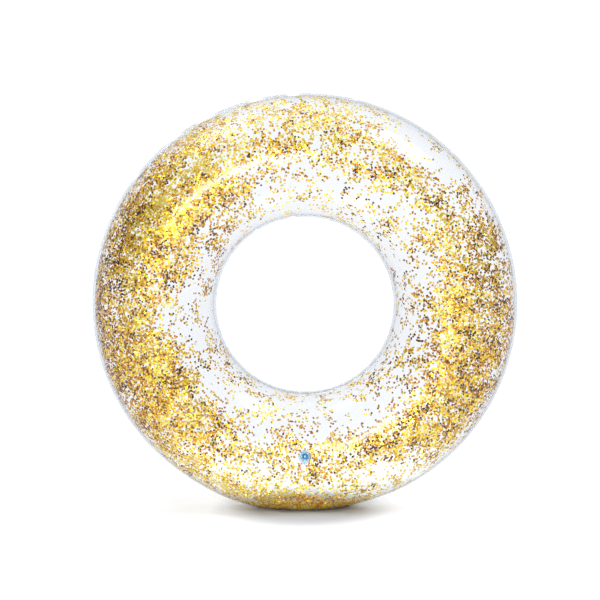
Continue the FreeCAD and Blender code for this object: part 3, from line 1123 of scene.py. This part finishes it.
# %% [markdown]
# ## Where the flakes lie
#
# Places are drawn at random and kept most often where a drift is thick. Static
# electricity makes flakes cling to each other, so every place gets one flake or a small
# clump. Real flakes hardly overlap on the film, so only one is kept in each small cell
# of space, and none under the valve.

# %% Where the flakes lie
DRAWN_AT_ONCE = 30000
MOST_IN_A_CLUMP = 22
CLUMP_SPREAD = 0.0024     # metres, for a single flake
VALVE_ROOM = 0.0165       # no flakes this close to the valve
CELL = 0.75 * FLAKE_WIDTH


def drawn(side, wanted, drifts):
    """Clock and tube angles drawn at random, most often where the glitter lies thick."""
    clocks, tubes, found = [], [], 0
    while found < wanted:
        clock = rng.uniform(-math.pi, math.pi, DRAWN_AT_ONCE)
        tube = rng.uniform(0.05, math.pi - 0.05, DRAWN_AT_ONCE) * -side
        area = (RING + TUBE * np.cos(tube)) / (RING + TUBE)
        keep = rng.uniform(0, 1.1, DRAWN_AT_ONCE) < area * drift_strength(clock, tube, drifts)
        clocks.append(clock[keep])
        tubes.append(tube[keep])
        found += int(keep.sum())
    return np.concatenate(clocks)[:wanted], np.concatenate(tubes)[:wanted]


def scatter(side, wanted, drifts):
    """Clock and tube angles of the flakes on one sheet, in clumps and as single ones."""
    clock, tube = drawn(side, wanted, drifts)
    flakes_each = 1 + rng.negative_binomial(0.55, 0.12, wanted)
    flakes_each = np.minimum(flakes_each, MOST_IN_A_CLUMP)
    clump = np.repeat(np.arange(wanted), flakes_each)
    spread = CLUMP_SPREAD * np.sqrt(flakes_each[clump])
    reach = RING + TUBE * np.cos(tube[clump])
    clock = clock[clump] + rng.normal(0, 1, len(clump)) * spread / reach
    tube = tube[clump] + rng.normal(0, 1, len(clump)) * spread / TUBE
    spots = tube_point(clock, tube)
    usable = np.linalg.norm(spots - np.array(VALVE), axis=1) > VALVE_ROOM
    usable &= np.abs(np.sin(tube)) > 0.04
    usable &= tube * side < 0
    taken = set()
    kept = []
    for index in np.flatnonzero(usable):
        cell = tuple(np.floor(spots[index] / CELL).astype(int))
        if cell not in taken:
            taken.add(cell)
            kept.append(index)
        if len(kept) == wanted:
            break
    return clock[kept], tube[kept]


# %% [markdown]
# ## Many flakes in one mesh
#
# So many objects would make Blender slow, and instances can't carry a tone of their own.
# So the one flake's points are turned, sized and moved to every place at once, and the
# copies are put into one mesh. Each copy carries its tone as a number on its faces.

# %% Many flakes in one mesh
def tilted(normals, spread):
    """The normals, each turned a little in a random direction."""
    sideways = rng.normal(0, 1, normals.shape)
    sideways -= (sideways * normals).sum(1, keepdims=True) * normals
    sideways /= np.linalg.norm(sideways, axis=1, keepdims=True)
    angle = np.abs(rng.normal(0, spread, len(normals)))[:, None]
    return normals * np.cos(angle) + sideways * np.sin(angle)


def flake_mesh(name, centres, normals, tones):
    """One mesh with a flake at each centre, facing along its normal."""
    count = len(centres)
    helper = rng.normal(0, 1, normals.shape)
    across = np.cross(normals, helper)
    across /= np.linalg.norm(across, axis=1, keepdims=True)
    along = np.cross(normals, across)
    size = rng.uniform(0.88, 1.06, count)[:, None, None]
    corners = size * (
        flake_points[None, :, 0:1] * across[:, None]
        + flake_points[None, :, 1:2] * along[:, None]
    ) + flake_points[None, :, 2:3] * normals[:, None]
    points = (centres[:, None] + corners).reshape(-1, 3)
    step = len(flake_points)
    faces = [
        tuple(corner + step * number for corner in face)
        for number in range(count)
        for face in flake_faces
    ]
    mesh = bpy.data.meshes.new(name)
    mesh.from_pydata(points.tolist(), [], faces)
    tone = mesh.attributes.new("tone", "FLOAT", "FACE")
    tone.data.foreach_set("value", np.repeat(tones, len(flake_faces)).astype(np.float32))
    piece = bpy.data.objects.new(name, mesh)
    scene.collection.objects.link(piece)
    print(name, count, "flakes,", count_triangles(piece), "triangles")
    return piece


# %% [markdown]
# ## Gold
#
# A flake is a tiny mirror, so its colour comes from the metal and its brightness from
# what it happens to face. One gold for all would look like paint. The gold layer
# differs from chip to chip, from burnt amber to pale lemon, so a colour ramp turns each
# flake's tone into its colour. The ramp runs down to near black, and that dark end is
# painted shade, for flakes that face dark parts of the room.

# %% Gold
gold_material, gold = new_finish("gold_glitter")
tone = gold.node("ShaderNodeAttribute", {"attribute_name": "tone"}, output="Fac")
# The dark end of this ramp, near black, is painted shade.
gold_and_shade_stops = [
    (0.00, (0.070, 0.028, 0.003)),
    (0.14, (0.19, 0.075, 0.004)),
    (0.30, (0.66, 0.26, 0.005)),
    (0.48, (0.90, 0.48, 0.006)),
    (0.66, (0.98, 0.70, 0.010)),
    (0.82, (1.00, 0.84, 0.07)),
    (1.00, (1.00, 0.92, 0.36)),
]
gold_and_shade_colour = gold.node("ShaderNodeValToRGB", {"ramp": gold_and_shade_stops}, {"Fac": tone}, output="Color")
gold.surface(gold.principled(Base_Color=gold_and_shade_colour, Metallic=0.78, Roughness=0.32))

# %% [markdown]
# ## Tones
#
# A flake's tone is partly its own and partly shared with its neighbours, as they lie
# turned alike and catch the same light. Chance alone would give an even speckle. A
# smooth noise makes lighter and darker patches, a few spots shift the tone, and
# flakes right above the floor lie in the ring's own shadow.
# The shift by a flake's facing is painted light: flakes facing up or down are made paler, and those
# facing sideways darker. The spots are partly tone and partly painted light.

# %% Tones
PATCHES = 45              # how fine the shared patches are
# The spots are partly the glitter's own tone and partly painted light: the one at clock 182, low on
# the front, lightens flakes that face the dark floor.
# clock angle, angle round the tube, spread of each in degrees, shift of the tone
TONE_AND_LIGHT_SPOTS = [
    (151, 99, 22, 9, -0.36),
    (182, 46, 20, 15, 0.32),
    (180, 124, 45, 10, 0.16),
    (322, 60, 22, 9, 0.22),
    (335, 108, 20, 9, -0.15),
]


def tones_at(points, normals, lowest, highest):
    """A tone for each flake, shared in part with its neighbours.

    Flakes that face up or down are painted paler than those that face sideways: painted light, for a
    room that is brighter above and below than at its sides."""
    shared = np.array([noise.noise(Vector(p) * PATCHES + Vector((2, 9, 4))) for p in points])
    own = rng.beta(1.4, 1.5, len(points))
    # Painted light: paler facing up or down, darker facing sideways.
    light_and_tone_shift = 0.20 * normals[:, 2] ** 2 - 0.30 * normals[:, 0] ** 2
    clock, tube = tube_angles(points)
    for spot_clock, spot_tube, wide, high, amount in TONE_AND_LIGHT_SPOTS:
        away = spreads_from(clock, spot_clock, wide)
        round_tube = (np.abs(tube) - math.radians(spot_tube)) / math.radians(high)
        light_and_tone_shift = light_and_tone_shift + amount * np.exp(-0.5 * (away**2 + round_tube**2))
    in_shade = np.clip((points[:, 2] - 0.001) / 0.005, 0.06, 1)
    return in_shade * (lowest + (highest - lowest) * np.clip(own + 0.5 * shared + light_and_tone_shift, 0, 1))


# %% [markdown]
# ## Glitter on the two sheets
#
# The glitter of a sheet takes the place of its few plain CAD flakes. All of it in one
# mesh would be too heavy, so it is split by tone into pieces of under 200,000
# triangles. Each flake lies just inside the film, and deeper the more it is tilted, so
# that hardly a corner pokes through. The back's glitter has no very dark flakes.

# %% Glitter on the two sheets
FLAKES = 17500
MOST_IN_ONE_PIECE = 9500


def glitter_pieces(name, node, centres, normals, tones):
    """Split the flakes by tone into pieces, and put each in its place in the frame."""
    order = np.argsort(tones)
    parts = math.ceil(len(order) / MOST_IN_ONE_PIECE)
    for number, chosen in enumerate(np.array_split(order, parts)):
        piece = flake_mesh(f"{name}_{number + 1}", centres[chosen], normals[chosen], tones[chosen])
        piece.data.materials.append(gold_material)
        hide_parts(node)
        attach(piece, "ring")


def glitter_on(side, name, node, drifts, lowest, highest, tilt=0.2):
    clock, tube = scatter(side, FLAKES, drifts)
    normals = tube_normal(clock, tube)
    faced = tilted(normals, tilt)
    lean = np.sqrt(np.clip(1 - (normals * faced).sum(1) ** 2, 0, 1))
    depth = FILM + 0.0002 + 0.5 * FLAKE_WIDTH * lean + rng.uniform(0, 0.0006, FLAKES)
    centres = tube_point(clock, tube, depth)
    glitter_pieces(name, node, centres, faced, tones_at(centres, normals, lowest, highest))


glitter_on(-1, "front_glitter", "glitter_on_front_skin", FRONT_DRIFTS, 0.0, 1.0)
glitter_on(1, "back_glitter", "glitter_on_back_skin", BACK_DRIFTS, 0.2, 1.0)

# %% [markdown]
# ## Settled glitter
#
# Flakes that no longer cling slide down and gather in the bottom of the tube. Dropping
# them with physics would take minutes for a heap that is hardly seen. So they are drawn
# round the lowest point, in a thin layer that is thickest there, and lie more askew.

# %% Settled glitter
SETTLED = 6000
PILE_SPREAD = 0.0018      # how much the heap's height differs, in metres

settled_clock = math.pi + rng.normal(0, 0.12, SETTLED)
settled_tube = rng.normal(0.28, 0.15, SETTLED)
settled_normals = tilted(tube_normal(settled_clock, settled_tube), 0.35)
inside_film = 0.0010 + FILM + np.abs(rng.normal(0, PILE_SPREAD, SETTLED))
settled_at = tube_point(settled_clock, settled_tube, inside_film)
# Zero normals keep the heap out of the painted light that follows a flake's facing.
unturned = np.zeros_like(settled_normals)      # the heap's tone doesn't follow its facing
settled_tones = tones_at(settled_at, unturned, 0.25, 0.75)
glitter_pieces("settled_glitter", "glitter_settled", settled_at, settled_normals, settled_tones)
